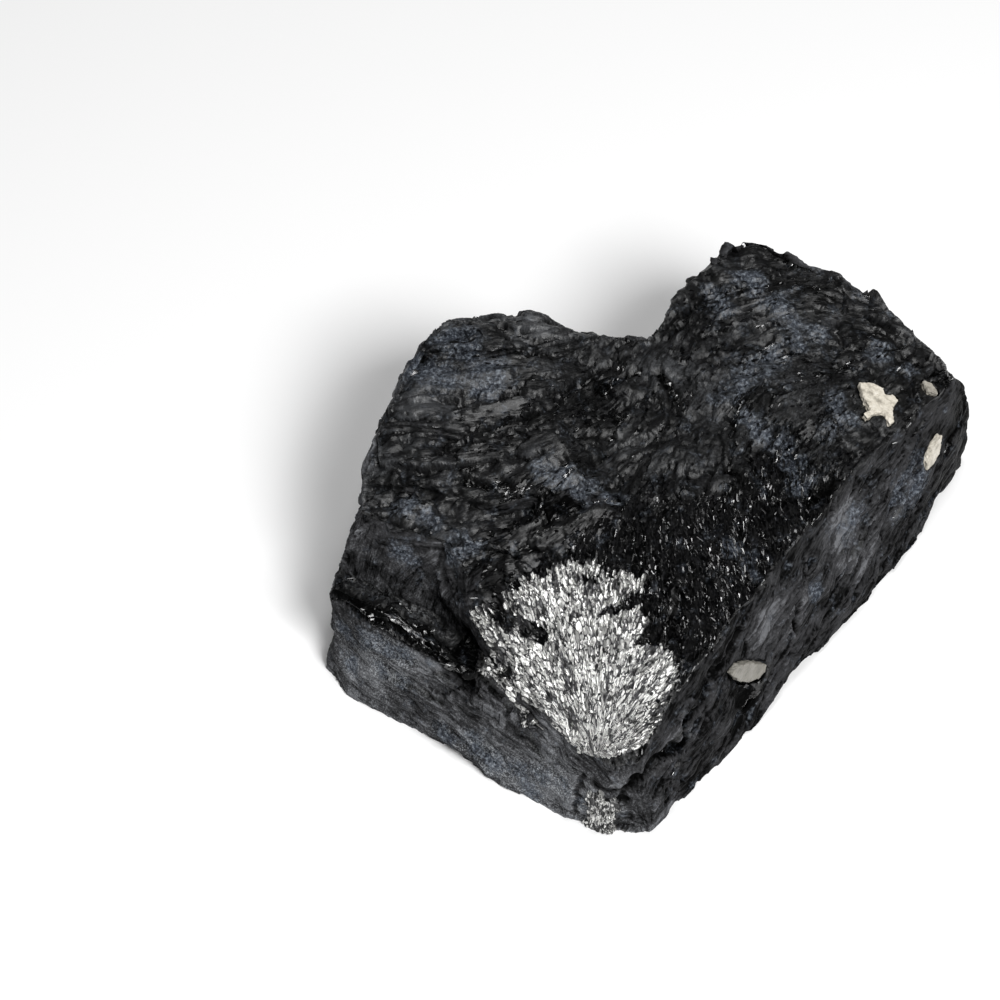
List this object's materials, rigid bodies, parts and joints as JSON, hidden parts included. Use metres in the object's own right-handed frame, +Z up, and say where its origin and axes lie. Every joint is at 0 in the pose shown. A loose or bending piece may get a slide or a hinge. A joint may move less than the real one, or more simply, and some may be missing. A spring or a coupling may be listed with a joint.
{
  "type": "black tourmaline cluster",
  "caption": "Palm-sized broken block of intergrown black tourmaline blades with pale feldspar chips, resting on a flat base.",
  "frame": {"origin": "middle of the bounding box, on the plane the cluster rests on", "axes": "+X along the long straight wall, +Y from that wall towards the notched back, +Z up"},
  "size_m": [0.1342, 0.0996, 0.0478],
  "materials": {
    "black_tourmaline": "broken mineral, glassy blades, black with blue-grey and silvery patches",
    "feldspar": "broken mineral, satin, cream white"
  },
  "bodies": {
    "root": {"tourmaline_mass": "black_tourmaline", "feldspar_leaf_chip": "feldspar", "feldspar_sliver": "feldspar", "feldspar_corner_chip": "feldspar", "feldspar_side_chip": "feldspar"}
  },
  "joints": []
}
